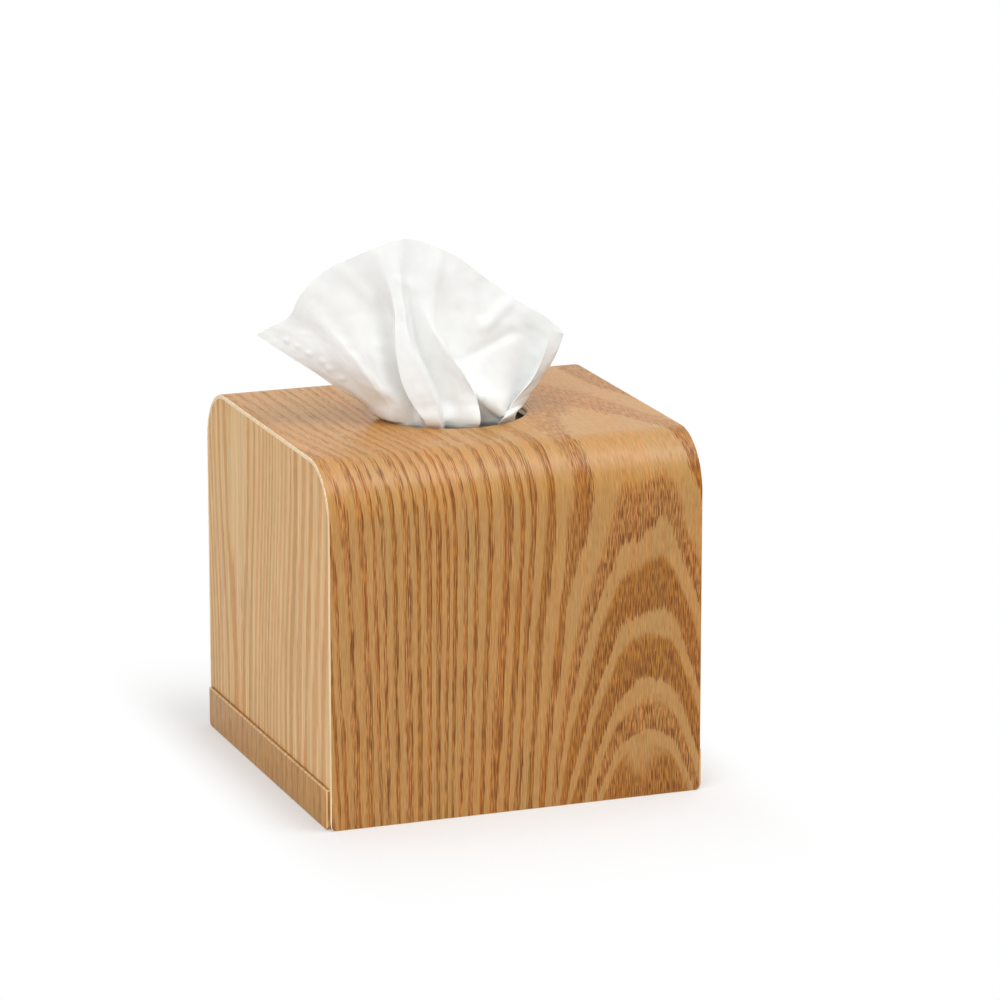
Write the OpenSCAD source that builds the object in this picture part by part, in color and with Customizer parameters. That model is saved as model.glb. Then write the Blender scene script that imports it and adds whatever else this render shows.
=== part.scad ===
// Tissue box cover. A bent plywood sheet makes the front, the top and the back, and two flat
// panels close the sides. It drops over a base tray with a rail on each side, which carries the
// tissue carton. Millimetres; the origin is on the table at the middle of the footprint, the
// front faces -Y and +Z is up.

/* [Cover] */
// Width over the two side faces
cover_w = 150; // [135:1:200]
// Depth over the front and the back
cover_d = 150; // [135:1:200]
// Height from the table to the top
cover_h = 140; // [137:1:190]
// Outer radius of the two bends
bend_r = 22; // [12:0.5:32]
// Width of the round hole in the top
hole_d = 60; // [46:1:74]
// Radius of the lower corners of the front and the back
lower_corner_r = 2; // [0.5:0.25:4]

/* [Plies of the bent sheet] */
// Thickness of the face veneer and of the lining veneer
veneer_t = 0.6; // [0.4:0.1:1]
// Thickness of each of the three plies between them
ply_t = 1; // [0.6:0.1:1.6]

/* [Side panels] */
// Thickness of the veneer on both faces of a side panel
panel_veneer_t = 0.6; // [0.4:0.1:1]
// Thickness of a side panel's core board
panel_core_t = 3; // [2:0.1:6]

/* [Base tray] */
// Height of the side rails
rail_h = 16; // [8:0.5:30]
// How far a rail stands proud of the side face
rail_proud = 1.2; // [0:0.1:3]
// Radius of a rail's two lower corners
rail_corner_r = 2.5; // [0.5:0.25:4]
// Thickness of the base board
board_t = 5; // [3:0.5:8]
// Gap all round between the tray and the cover that lifts off it
lift_gap = 0.3; // [0.2:0.05:0.8]

/* [Tissue carton] */
// Width of the carton
carton_w = 110; // [90:1:124]
// Depth of the carton
carton_d = 110; // [90:1:124]
// Height of the carton
carton_h = 125; // [100:1:129]
// Thickness of its cardboard
carton_t = 0.8; // [0.4:0.1:1.5]
// Length of the oval opening in its top
mouth_l = 78; // [66:1:84]
// Width of the oval opening
mouth_w = 46; // [34:1:60]
// Thickness of the film under the opening
film_t = 0.3; // [0.2:0.1:0.6]
// How far the film reaches past the opening, where it is glued
film_lap = 6; // [3:0.5:8]
// Length of the slit in the film
slit_l = 60; // [54:1:64]
// Width to which the slit is pushed open
slit_w = 9; // [8.5:0.5:14]

/* [Tissues] */
// Free height between the stack and the carton's top
stack_room = 11; // [8:0.5:40]
// Gap between the stack and the carton's walls
stack_gap = 0.3; // [0.2:0.1:2]
// Radius of the stack's upright corners
stack_corner_r = 4; // [2:0.5:8]

/* [Popped-up tissue] */
// Thickness of the gathered sheet
sheet_t = 0.8; // [0.5:0.1:1.2]
// How far its left corner stands out from the middle of the hole
sheet_reach = 75; // [60:1:75]
// How far its highest point stands above the cover
sheet_rise = 68; // [50:1:90]
// How far its folds swing to the front and the back
fold_depth = 12; // [8:0.5:13]
// Half width of the tail that hangs through the slit
tail_half_w = 23; // [18:0.5:25]
// How far the tail's pleats swing to the front and the back
pleat_depth = 2.5; // [1.5:0.25:2.5]
// Gap between the tail's end and the stack
tail_gap = 0.3; // [0.2:0.1:1]

/* [Hidden] */
$fn = 96;

// Overrun of a cut past the face it opens
cut = 1;

shell_t = 2 * veneer_t + 3 * ply_t;
// The face veneer and the first ply run the full width, and hide the edges of the side panels
lip_t = veneer_t + ply_t;
panel_t = 2 * panel_veneer_t + panel_core_t;

inner_half_w = cover_w / 2 - panel_t;
inner_half_d = cover_d / 2 - shell_t;
hole_r = hole_d / 2;

carton_top = board_t + carton_h;
stack_top = carton_top - carton_t - stack_room;
film_top = carton_top - carton_t;
slit_r = slit_w / 2;
mouth_r = mouth_w / 2;

// Outline of the arch of the cover, seen from the side, drawn in from the outer face
module arch(inset, bottom) {
    r = bend_r - inset;
    half_d = cover_d / 2 - inset;
    top = cover_h - inset;
    translate([-half_d, bottom]) square([2 * half_d, top - r - bottom]);
    translate([r - half_d, bottom]) square([2 * (half_d - r), top - bottom]);
    for (side = [-1, 1]) translate([side * (half_d - r), top - r]) circle(r);
}

// Turns an outline seen from the side into a slab from x0 to x1
module side_slab(x0, x1) {
    translate([x0, 0, 0]) rotate([90, 0, 90]) linear_extrude(x1 - x0) children();
}

// One bent ply: an arch with the hole, between two insets from the outer face
module bent_ply(inset, thickness, half_w) {
    difference() {
        side_slab(-half_w, half_w) difference() {
            arch(inset, 0);
            arch(inset + thickness, -cut);
        }
        translate([0, 0, cover_h - shell_t - cut]) cylinder(h = shell_t + 2 * cut, r = hole_r);
    }
}

// Front view of the cover with its two lower corners rounded, right through from front to back
module lower_corners() {
    r = lower_corner_r;
    rotate([90, 0, 0]) translate([0, 0, -cover_d / 2 - cut]) linear_extrude(cover_d + 2 * cut) {
        translate([-cover_w / 2, r]) square([cover_w, cover_h - r + cut]);
        translate([r - cover_w / 2, 0]) square([cover_w - 2 * r, cover_h]);
        for (side = [-1, 1]) translate([side * (cover_w / 2 - r), r]) circle(r);
    }
}

module face_veneer() {
    color("burlywood") intersection() {
        bent_ply(0, veneer_t, cover_w / 2);
        lower_corners();
    }
}

module outer_crossband() {
    color("moccasin") intersection() {
        bent_ply(veneer_t, ply_t, cover_w / 2);
        lower_corners();
    }
}

module core_ply() {
    color("peru") bent_ply(lip_t, ply_t, inner_half_w);
}

module inner_crossband() {
    color("moccasin") bent_ply(lip_t + ply_t, ply_t, inner_half_w);
}

module lining_veneer() {
    color("tan") bent_ply(lip_t + 2 * ply_t, veneer_t, inner_half_w);
}

// One layer of a side panel, in the rebate behind the lip and above the rail
module panel_layer(side, depth, thickness) {
    x = side * (cover_w / 2 - depth);
    side_slab(min(x, x - side * thickness), max(x, x - side * thickness)) difference() {
        arch(lip_t, 0);
        translate([-cover_d / 2, -cut]) square([cover_d, rail_h + lift_gap + cut]);
    }
}

module panel_veneer(side) {
    color("burlywood") panel_layer(side, 0, panel_veneer_t);
}

module panel_core(side) {
    color("wheat") panel_layer(side, panel_veneer_t, panel_core_t);
}

module panel_lining(side) {
    color("tan") panel_layer(side, panel_veneer_t + panel_core_t, panel_veneer_t);
}

// The board reaches across the rebates to the rails, clear of the ends of the inner plies
module base_board() {
    half_w = inner_half_w + lift_gap;
    half_d = inner_half_d - lift_gap;
    color("tan") translate([-half_w, -half_d, 0]) cube([2 * half_w, 2 * half_d, board_t]);
}

// A rail fills the rebate below the side panel, between the lips at the front and the back
module rail(side) {
    r = rail_corner_r;
    half_d = cover_d / 2 - lip_t - lift_gap;
    inner = side * (inner_half_w + lift_gap);
    outer = side * (cover_w / 2 + rail_proud);
    color("burlywood") side_slab(min(inner, outer), max(inner, outer)) {
        translate([-half_d, r]) square([2 * half_d, rail_h - r]);
        translate([r - half_d, 0]) square([2 * (half_d - r), rail_h]);
        for (end = [-1, 1]) translate([end * (half_d - r), r]) circle(r);
    }
}

// An oval with round ends, long way across, standing up from height z
module oval(length, radius, z, height) {
    half_l = length / 2 - radius;
    translate([0, 0, z]) {
        translate([-half_l, -radius, 0]) cube([2 * half_l, 2 * radius, height]);
        for (end = [-1, 1]) translate([end * half_l, 0, 0]) cylinder(h = height, r = radius);
    }
}

module carton() {
    inner_w = carton_w - 2 * carton_t;
    inner_d = carton_d - 2 * carton_t;
    color("lightsteelblue") difference() {
        translate([-carton_w / 2, -carton_d / 2, board_t]) cube([carton_w, carton_d, carton_h]);
        translate([-inner_w / 2, -inner_d / 2, board_t + carton_t])
            cube([inner_w, inner_d, carton_h - 2 * carton_t]);
        oval(mouth_l, mouth_r, carton_top - carton_t - cut, carton_t + 2 * cut);
    }
}

module slit_film() {
    length = mouth_l + 2 * film_lap;
    width = mouth_w + 2 * film_lap;
    color("gainsboro") difference() {
        translate([-length / 2, -width / 2, film_top - film_t]) cube([length, width, film_t]);
        oval(slit_l, slit_r, film_top - film_t - cut, film_t + 2 * cut);
    }
}

module tissue_stack() {
    half_w = carton_w / 2 - carton_t - stack_gap;
    half_d = carton_d / 2 - carton_t - stack_gap;
    r = stack_corner_r;
    bottom = board_t + carton_t;
    color("whitesmoke") translate([0, 0, bottom]) linear_extrude(stack_top - bottom) {
        translate([-half_w, r - half_d]) square([2 * half_w, 2 * (half_d - r)]);
        translate([r - half_w, -half_d]) square([2 * (half_w - r), 2 * half_d]);
        for (x = [-1, 1], y = [-1, 1])
            translate([x * (half_w - r), y * (half_d - r)]) circle(r);
    }
}

// The folds of the popped-up tissue, from its left edge to its right edge. Each row is one fold line:
// where it passes the hole (x, y as shares of the hole's radius), where its middle is and where it
// meets the sheet's top edge (x of the reach, y of the fold depth, z of the rise).
fold_shares = [
    [[-0.88, 0.28], [-0.69, 0.67, 0.27], [-0.98, 1.00, 0.49]],
    [[-0.90, 0.08], [-0.66, 0.42, 0.35], [-0.87, 0.75, 0.57]],
    [[-0.88, -0.12], [-0.62, 0.17, 0.40], [-0.79, 0.33, 0.68]],
    [[-0.83, -0.35], [-0.56, -0.17, 0.41], [-0.75, 0.17, 0.79]],
    [[-0.67, -0.32], [-0.44, 0.33, 0.40], [-0.58, 0.67, 0.87]],
    [[-0.54, -0.28], [-0.31, 0.50, 0.39], [-0.38, 0.67, 0.95]],
    [[-0.48, -0.60], [-0.31, -0.50, 0.46], [-0.30, 0.25, 0.99]],
    [[-0.37, -0.66], [-0.24, -0.58, 0.46], [-0.24, 0.17, 1.00]],
    [[-0.26, -0.48], [-0.16, 0.00, 0.45], [-0.16, 0.17, 0.98]],
    [[-0.05, -0.60], [-0.10, -0.42, 0.47], [-0.04, 0.17, 0.91]],
    [[0.15, -0.62], [-0.02, -0.50, 0.40], [0.10, 0.17, 0.83]],
    [[0.33, -0.24], [0.22, 0.50, 0.35], [0.21, 0.58, 0.74]],
    [[0.48, -0.26], [0.40, 0.50, 0.33], [0.39, 0.50, 0.58]],
    [[0.58, -0.42], [0.50, 0.00, 0.31], [0.54, 0.08, 0.47]],
    [[0.80, -0.42], [0.57, -0.33, 0.27], [0.61, -0.25, 0.39]]
];

// Rows of points across the sheet: this many below the hole and this many above it
tail_rows = 6;
fan_rows = 11;
rows = tail_rows + fan_rows;
columns = 2 * len(fold_shares) - 1;

// A fold's three points in millimetres
function at_hole(f) = [f[0].x * hole_r, f[0].y * hole_r, cover_h];
function above(p) = [p.x * sheet_reach, p.y * fold_depth, cover_h + p.z * sheet_rise];

// A curve through the three points: at the hole for s = 0, at the middle for 0.5, at the edge for 1
function up_fold(f, s) =
    at_hole(f) * (1 - s) * (1 - 2 * s) + above(f[1]) * 4 * s * (1 - s) + above(f[2]) * s * (2 * s - 1);

// The tail below the hole: it gathers into even pleats at the slit and hangs to just above the stack
function pleat(i) = (i % 2 == 0 ? 1 : -1) * pleat_depth;
function tail_point(i, z) = [(2 * i / (len(fold_shares) - 1) - 1) * tail_half_w, pleat(i), z];
tail_end = stack_top + tail_gap;
function down_fold(i, s) = let (
    z = tail_end + s * (cover_h - tail_end),
    spread = max(0, (z - film_top) / (cover_h - film_top)),
    open = spread * spread * (3 - 2 * spread),
    top = at_hole(fold_shares[i])
) tail_point(i, z) * (1 - open) + [top.x, top.y, z] * open;

function fold_point(i, row) =
    row < tail_rows ? down_fold(i, row / tail_rows)
                    : up_fold(fold_shares[i], (row - tail_rows) / fan_rows);

// Points between two folds, on a smooth curve through them and their neighbours
function held(i) = min(max(i, 0), len(fold_shares) - 1);
function sheet_point(c, row) =
    c % 2 == 0 ? fold_point(c / 2, row) :
    let (i = (c - 1) / 2)
    (9 * (fold_point(i, row) + fold_point(i + 1, row))
        - fold_point(held(i - 1), row) - fold_point(held(i + 2), row)) / 16;

middle = [for (row = [0:rows]) [for (c = [0:columns - 1]) sheet_point(c, row)]];

function normal(row, c) = let (
    across = middle[row][min(c + 1, columns - 1)] - middle[row][max(c - 1, 0)],
    along = middle[min(row + 1, rows)][c] - middle[max(row - 1, 0)][c],
    n = cross(across, along)
) n / norm(n);

// The sheet as a closed solid: its front face, its back face and the rim between them
module popped_tissue() {
    half_t = sheet_t / 2;
    face_points = (rows + 1) * columns;
    points = [
        for (side = [1, -1]) for (row = [0:rows]) for (c = [0:columns - 1])
            middle[row][c] + side * half_t * normal(row, c)
    ];
    function front(row, c) = row * columns + c;
    function back(row, c) = face_points + front(row, c);
    last = columns - 1;
    faces = concat(
        [for (row = [0:rows - 1]) for (c = [0:last - 1]) each [
            [front(row, c), front(row + 1, c), front(row + 1, c + 1)],
            [front(row, c), front(row + 1, c + 1), front(row, c + 1)],
            [back(row, c), back(row + 1, c + 1), back(row + 1, c)],
            [back(row, c), back(row, c + 1), back(row + 1, c + 1)]
        ]],
        [for (c = [0:last - 1]) each [
            [front(0, c), front(0, c + 1), back(0, c + 1)],
            [front(0, c), back(0, c + 1), back(0, c)],
            [front(rows, c), back(rows, c + 1), front(rows, c + 1)],
            [front(rows, c), back(rows, c), back(rows, c + 1)]
        ]],
        [for (row = [0:rows - 1]) each [
            [front(row, 0), back(row + 1, 0), front(row + 1, 0)],
            [front(row, 0), back(row, 0), back(row + 1, 0)],
            [front(row, last), front(row + 1, last), back(row + 1, last)],
            [front(row, last), back(row + 1, last), back(row, last)]
        ]]
    );
    color("white") polyhedron(points, faces, convexity = 10);
}

face_veneer();
outer_crossband();
core_ply();
inner_crossband();
lining_veneer();
panel_veneer(-1);  // left_panel_veneer
panel_core(-1);  // left_panel_core
panel_lining(-1);  // left_panel_lining
panel_veneer(1);  // right_panel_veneer
panel_core(1);  // right_panel_core
panel_lining(1);  // right_panel_lining
base_board();
rail(-1);  // left_rail
rail(1);  // right_rail
carton();
slit_film();
tissue_stack();
popped_tissue();
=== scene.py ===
import math
from functools import partial

import bmesh
import bpy
import numpy as np
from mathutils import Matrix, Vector, noise


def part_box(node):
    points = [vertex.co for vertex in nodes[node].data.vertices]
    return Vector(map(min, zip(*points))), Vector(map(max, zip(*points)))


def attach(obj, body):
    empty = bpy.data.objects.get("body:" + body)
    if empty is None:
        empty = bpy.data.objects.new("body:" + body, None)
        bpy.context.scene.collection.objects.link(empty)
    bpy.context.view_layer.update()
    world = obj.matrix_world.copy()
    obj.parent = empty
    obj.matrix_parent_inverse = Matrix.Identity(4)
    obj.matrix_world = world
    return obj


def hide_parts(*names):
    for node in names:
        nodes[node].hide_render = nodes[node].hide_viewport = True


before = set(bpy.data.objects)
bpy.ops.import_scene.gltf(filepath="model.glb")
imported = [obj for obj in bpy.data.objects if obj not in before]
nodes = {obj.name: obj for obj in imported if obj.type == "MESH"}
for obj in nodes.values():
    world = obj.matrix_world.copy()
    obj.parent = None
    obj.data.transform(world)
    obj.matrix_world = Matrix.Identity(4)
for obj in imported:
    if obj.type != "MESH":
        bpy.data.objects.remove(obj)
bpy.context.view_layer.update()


# Base board
# The bottom of the tray: a square of light plywood that the carton stands on. Sawn to size, its
# edges show the plies, and its arrises are broken with sandpaper.
MM = 0.001


def node(tree, kind, inputs=None, **settings):
    """Adds a node; an input is a plain value or the socket that feeds it."""
    made = tree.nodes.new(kind)
    for key, value in settings.items():
        setattr(made, key, value)
    for key, value in (inputs or {}).items():
        socket = made.inputs[key]
        if isinstance(key, str):
            socket = next(s for s in made.inputs if s.name == key and s.enabled)
        if isinstance(value, bpy.types.NodeSocket):
            tree.links.new(value, socket)
        else:
            socket.default_value = value
    return made


def tree_of(*values):
    """The node tree of the first of these values that is a socket."""
    return next(value.id_data for value in values if isinstance(value, bpy.types.NodeSocket))


def out_of(*place, **settings):
    """The first output of a new node."""
    return node(*place, **settings).outputs[0]


def sum_of(operation, *values, clamp=False):
    """The result of one Math node."""
    return out_of(tree_of(*values), "ShaderNodeMath", dict(enumerate(values)), operation=operation,
                  use_clamp=clamp)


times, plus = partial(sum_of, "MULTIPLY"), partial(sum_of, "ADD")
minus, times_plus = partial(sum_of, "SUBTRACT"), partial(sum_of, "MULTIPLY_ADD")


def vector_of(operation, *values, scale=None):
    """The result of one Vector Math node."""
    inputs = dict(enumerate(values))
    if scale is not None:
        inputs["Scale"] = scale
    made = node(tree_of(*values, scale), "ShaderNodeVectorMath", inputs, operation=operation)
    return made.outputs["Value" if operation in ("DOT_PRODUCT", "LENGTH") else "Vector"]


def combined(x=0.0, y=0.0, z=0.0):
    """One vector of three numbers or sockets."""
    return out_of(tree_of(x, y, z), "ShaderNodeCombineXYZ", {"X": x, "Y": y, "Z": z})


def parts_of(vector):
    """The X, Y and Z of a vector."""
    return node(tree_of(vector), "ShaderNodeSeparateXYZ", {"Vector": vector}).outputs


def object_place(tree):
    """The piece's own coordinates."""
    return node(tree, "ShaderNodeTexCoord").outputs["Object"]


def ramp(value, low, high, start=0.0, end=1.0):
    """A smooth step from start to end as value goes from low to high."""
    return out_of(tree_of(value), "ShaderNodeMapRange", {"Value": value, "From Min": low, "From Max": high,
                  "To Min": start, "To Max": end}, interpolation_type="SMOOTHSTEP")


def blended(factor, first, second, mode="MIX"):
    """The colour result of one Mix node."""
    made = node(tree_of(factor, first, second), "ShaderNodeMix", {0: factor, 6: first, 7: second},
                data_type="RGBA", blend_type=mode)
    return made.outputs[2]


def tinted(color, tint):
    """A colour multiplied by another."""
    return blended(1.0, color, tint, "MULTIPLY")


def grainy(across, along, depth, across_scale, along_scale, detail=2.0, roughness=0.55):
    """Noise drawn out along the grain; the scales are in features per millimetre."""
    place = combined(times(across, across_scale), times(along, along_scale), depth)
    return out_of(tree_of(across), "ShaderNodeTexNoise", {"Vector": place, "Scale": 1.0, "Detail": detail,
                  "Roughness": roughness}, noise_dimensions="3D")


def new_tree(name, kind, inputs, outputs):
    """An empty node group with these sockets, and the sockets that feed it."""
    tree = bpy.data.node_groups.new(name, kind)
    for way, sockets in (("INPUT", inputs), ("OUTPUT", outputs)):
        for socket_kind, names in sockets.items():
            for socket_name in names:
                tree.interface.new_socket(name=socket_name, in_out=way,
                                          socket_type="NodeSocket" + socket_kind)
    return tree, tree.nodes.new("NodeGroupInput").outputs


def give_out(tree, *sockets):
    """Feeds the outputs of a node group, in their order."""
    outputs = tree.nodes.new("NodeGroupOutput").inputs
    for k, socket in enumerate(sockets):
        tree.links.new(socket, outputs[k])


def feed(shader, **sockets):
    """Links sockets to the shader's inputs of the same names."""
    for key, socket in sockets.items():
        shader.id_data.links.new(socket, shader.inputs[key.replace("_", " ")])


def bumped(height, strength, distance):
    """A normal from a height; the distance is in millimetres."""
    return out_of(tree_of(height), "ShaderNodeBump", {"Strength": strength, "Distance": distance * MM,
                  "Height": height})


def open_pored_wood():
    """Ring-porous wood: each growth ring starts with a sharp band of brown pores and fades to pale."""
    tree, given = new_tree("open_pored_wood", "ShaderNodeTree", {
        "Vector": ["Grain"], "Float": ["Ring", "Flat sawn", "Bands", "Pores", "Leaf", "Drift"],
        "Color": ["Pale", "Brown", "Pore"]}, {"Color": ["Color"], "Float": ["Roughness", "Height"]})
    split = parts_of(given["Grain"])
    depth = times_plus(given["Leaf"], 17.3, times(split["Z"], 0.3))

    def along_grain(shift, *scales):
        return grainy(split["X"], split["Y"], plus(depth, shift), *scales)

    # vessels run long where the rings stand upright in the leaf, and short where they lie flat
    long_pores = along_grain(0.0, 2.8, 0.055, 1.0, 0.5)
    short_pores = along_grain(5.0, 3.3, 0.19, 0.5, 0.5)
    fibre = along_grain(9.0, 1.5, 0.022, 2.0, 0.6)
    fleck = along_grain(21.0, 3.6, 0.20, 0.5, 0.5)
    stripe = along_grain(27.0, 0.50, 0.006, 1.5, 0.5)
    streak = along_grain(13.0, 0.42, 0.010, 2.0, 0.5)
    tone = along_grain(0.0, 0.045, 0.009, 1.0, 0.5)
    sway = along_grain(3.0, 0.07, 0.014, 1.0, 0.5)
    porous = out_of(tree, "ShaderNodeMix", {0: given["Flat sawn"], 2: long_pores, 3: short_pores})

    # the ring number wanders a little, and its sharp edge is ragged where pores cross it
    ring = times_plus(minus(sway, 0.5), 0.55, given["Ring"])
    upright = minus(1.0, given["Flat sawn"])
    ring = times_plus(times(minus(streak, 0.5), upright), 0.6, ring)
    ring = times_plus(minus(porous, 0.5), 0.26, ring)
    part = sum_of("FRACT", ring)
    year = plus(sum_of("FLOOR", ring), given["Leaf"])
    chance = node(tree, "ShaderNodeTexWhiteNoise", {"W": year}, noise_dimensions="1D").outputs
    redness = out_of(tree, "ShaderNodeSeparateColor", {"Color": chance["Color"]})
    early = times(ramp(part, 0.0, 0.07), ramp(part, 0.44, 0.60, 1.0, 0.0))

    # pores are thick in the brown band and few in the pale one
    first = times(ramp(part, 0.0, 0.06), ramp(part, 0.12, 0.30, 1.0, 0.0))
    level = times_plus(first, -0.05, times_plus(early, -0.09, 0.61))
    pore = ramp(porous, level, plus(level, 0.09))
    pore = times(pore, ramp(early, 0.0, 1.0, 0.35, 1.0))
    pore = times(pore, given["Pores"], clamp=True)

    band = times(early, ramp(chance["Value"], 0.0, 1.0, 0.6, 1.25))
    lines = times_plus(ramp(fibre, 0.36, 0.6, -0.5, 0.2), upright, 1.0)
    band = times(band, times(lines, ramp(streak, 0.3, 0.7, 0.7, 1.1)))
    band = times(band, given["Bands"], clamp=True)
    # some years are redder, some more olive
    brown = blended(redness, tinted(given["Brown"], (1.08, 0.91, 0.76, 1)),
                    tinted(given["Brown"], (0.96, 1.0, 1.0, 1)))
    color = blended(pore, blended(band, given["Pale"], brown), given["Pore"])
    lively = times(ramp(fleck, 0.36, 0.64, -0.30, 0.32), ramp(early, 0.0, 1.0, 0.3, 1.0))
    lively = times(lively, ramp(given["Pores"], 0.0, 0.6))
    light = times(ramp(fibre, 0.25, 0.75, 0.91, 1.09), plus(lively, 1.0))
    # where pores are few, long fine lines show instead
    lined = times_plus(ramp(streak, 0.34, 0.66, -0.5, 0.5), 0.5, ramp(fibre, 0.38, 0.62, -0.5, 0.5))
    lined = times(lined, ramp(given["Pores"], 0.2, 0.6, 0.14, 0.0))
    light = times(light, plus(lined, 1.0))
    # darker lines are also warmer: blue falls most and red least
    light = out_of(tree, "ShaderNodeCombineColor", {"Red": sum_of("POWER", light, 0.85),
                   "Green": sum_of("POWER", light, 1.05), "Blue": sum_of("POWER", light, 1.6)})
    color = tinted(color, light)
    # stripes and slow drifts between an oranger and a greyer tone
    warmth = ramp(times_plus(tone, 0.5, times(stripe, 0.5)), 0.38, 0.62)
    toned = blended(warmth, tinted(color, (1.035, 0.965, 0.88, 1)), tinted(color, (0.965, 1.01, 1.05, 1)))
    give_out(tree, blended(given["Drift"], color, toned),
             times_plus(pore, 0.16, ramp(fibre, 0.2, 0.8, 0.34, 0.42)),
             times_plus(fibre, 0.25, times(pore, -1.0)))
    return tree


WOOD = open_pored_wood()


def principled(name, **values):
    """A new material with one Principled shader; returns it with its tree and that shader."""
    material = bpy.data.materials.new(name)
    material.use_nodes = True
    tree = material.node_tree
    shader = tree.nodes["Principled BSDF"]
    for key, value in values.items():
        shader.inputs[key.replace("_", " ")].default_value = value
    return material, tree, shader


def wood(name, pale, brown, pore, axes="YZX", ring_width=3.8, ring_drift=2.5, bands=1.0, pores=1.0,
         leaf=0.0, bump=0.05, from_leaf=False, gloss=1.28, drift=1.0):
    """Wood on Object coordinates, whose axes are named across, along and through the grain, or, for a
    leaf of veneer, on the leaf's own coordinates and ring numbers."""
    material, tree, shader = principled(name, IOR=gloss)
    made = node(tree, "ShaderNodeGroup", {}, node_tree=WOOD)
    values = {"Pale": (*pale, 1), "Brown": (*brown, 1), "Pore": (*pore, 1), "Leaf": leaf, "Drift": drift,
              "Bands": bands, "Pores": pores}
    for key, value in values.items():
        made.inputs[key].default_value = value
    if from_leaf:
        own = {key: node(tree, "ShaderNodeAttribute", attribute_name=key).outputs
               for key in ("grain", "ring", "flat_sawn", "faded")}
        grain, ring = own["grain"]["Vector"], own["ring"]["Fac"]
        tree.links.new(own["flat_sawn"]["Fac"], made.inputs["Flat sawn"])
        # where a leaf carries the painted sheen mask, its bands and pores are halved: painted sheen that
        # pales the figure on the top
        for key in ("Bands", "Pores"):
            faded = times_plus(own["faded"]["Fac"], -0.5 * values[key], values[key])
            tree.links.new(faded, made.inputs[key])
    else:
        split = parts_of(vector_of("MULTIPLY", object_place(tree), (1 / MM,) * 3))
        order = [split[axis] for axis in axes]
        grain = combined(*order)
        wander = grainy(order[0], order[1], leaf * 7.7, 0.03, 0.004, 1.0)
        ring = times_plus(wander, ring_drift, sum_of("DIVIDE", order[0], ring_width))
    tree.links.new(grain, made.inputs["Grain"])
    tree.links.new(ring, made.inputs["Ring"])
    feed(shader, Base_Color=made.outputs["Color"], Roughness=made.outputs["Roughness"],
         Normal=bumped(made.outputs["Height"], 0.6, bump))
    return material


def mark_sharp(mesh, degrees=40.0):
    """Smooth shading, with an edge kept wherever two faces meet at more than this angle."""
    sharp = bmesh.new()
    sharp.from_mesh(mesh)
    for face in sharp.faces:
        face.smooth = True
    for edge in sharp.edges:
        edge.smooth = len(edge.link_faces) == 2 and edge.calc_face_angle(math.pi) < math.radians(degrees)
    sharp.to_mesh(mesh)
    sharp.free()


def finished(obj):
    """The object with its modifiers applied, as a plain mesh."""
    bpy.context.view_layer.update()
    evaluated = obj.evaluated_get(bpy.context.evaluated_depsgraph_get())
    mesh = bpy.data.meshes.new_from_object(evaluated)
    obj.modifiers.clear()
    obj.data = mesh
    mesh.name = obj.name
    return obj


def new_piece(name, data):
    """Puts a mesh, a lamp or a camera in the scene."""
    obj = bpy.data.objects.new(name, data)
    bpy.context.scene.collection.objects.link(obj)
    return obj


def put_on(mesh, *materials):
    """Gives a mesh these materials and no others."""
    mesh.materials.clear()
    for material in materials:
        mesh.materials.append(material)


weld, level_turn = 0.002, 1.0
arris_turn, arris_steps = 30.0, 3


def eased(name, node_name, body, materials, ease):
    """A copy of a carried-over node with its arrises eased; the eased faces take the last material."""
    mesh = nodes[node_name].data.copy()
    whole = bmesh.new()
    whole.from_mesh(mesh)
    bmesh.ops.remove_doubles(whole, verts=whole.verts, dist=weld * MM)
    bmesh.ops.dissolve_limit(whole, angle_limit=math.radians(level_turn), verts=whole.verts,
                             edges=whole.edges)
    whole.to_mesh(mesh)
    whole.free()
    put_on(mesh, *materials)
    mesh.polygons.foreach_set("material_index", [0] * len(mesh.polygons))
    obj = new_piece(name, mesh)
    bevel = obj.modifiers.new("eased", "BEVEL")
    bevel.width = ease * MM
    bevel.segments = arris_steps
    bevel.limit_method = "ANGLE"
    bevel.angle_limit = math.radians(arris_turn)
    bevel.material = len(materials) - 1
    bevel.harden_normals = False
    finished(obj)
    mark_sharp(obj.data)
    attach(obj, body)
    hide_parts(node_name)
    return obj


board_pale, board_brown, board_pore = (0.66, 0.47, 0.27), (0.50, 0.31, 0.15), (0.36, 0.20, 0.09)
board_face = wood("board_face", board_pale, board_brown, board_pore, "YXZ", ring_width=6.5, bands=0.5,
                  pores=0.5, leaf=3.0)
board_edge = wood("board_edge", (0.72, 0.54, 0.33), (0.42, 0.25, 0.12), board_pore, "ZXY", ring_width=1.25,
                  ring_drift=0.0, bands=0.8, pores=0.15, leaf=4.0)
eased("base_board_sawn", "base_board", "tray", [board_face, board_edge], 0.3)


# Side rails
# Two strips of the same wood as the cover, glued to the edges of the base board. They fill the
# gap below the side panels and stand proud of them; their arrises are rounded over.
rail_pale, rail_brown, rail_pore = (0.53, 0.285, 0.095), (0.46, 0.225, 0.055), (0.34, 0.13, 0.01)
rail_face = wood("rail_face", rail_pale, rail_brown, rail_pore, ring_width=6.4, bands=0.5, pores=0.4,
                 leaf=11.0, gloss=1.22, bump=0.02, drift=0.4)
# the rounded arrises are painted much paler than the rail's face: a painted highlight along the rounding
rail_arris_highlight = wood("rail_arris_highlight", (0.74, 0.52, 0.30), (0.60, 0.37, 0.18), rail_pore, ring_width=4.4,
                  bands=0.6, pores=0.3, leaf=11.0)
for side in ("left", "right"):
    eased(side + "_rail_rounded", side + "_rail", "tray", [rail_face, rail_arris_highlight], 0.5)


# Tissue carton
# The cube carton that the tissues are sold in: thin folded board, warm grey with a plain darker band
# round the foot. Its oval opening is torn out along a perforated line. It stands loose on the board.
band_top, band_fade, band_color = 46.0, 0.4, (0.34, 0.30, 0.24)
rubbed_white = (0.86, 0.86, 0.84, 1)


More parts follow.
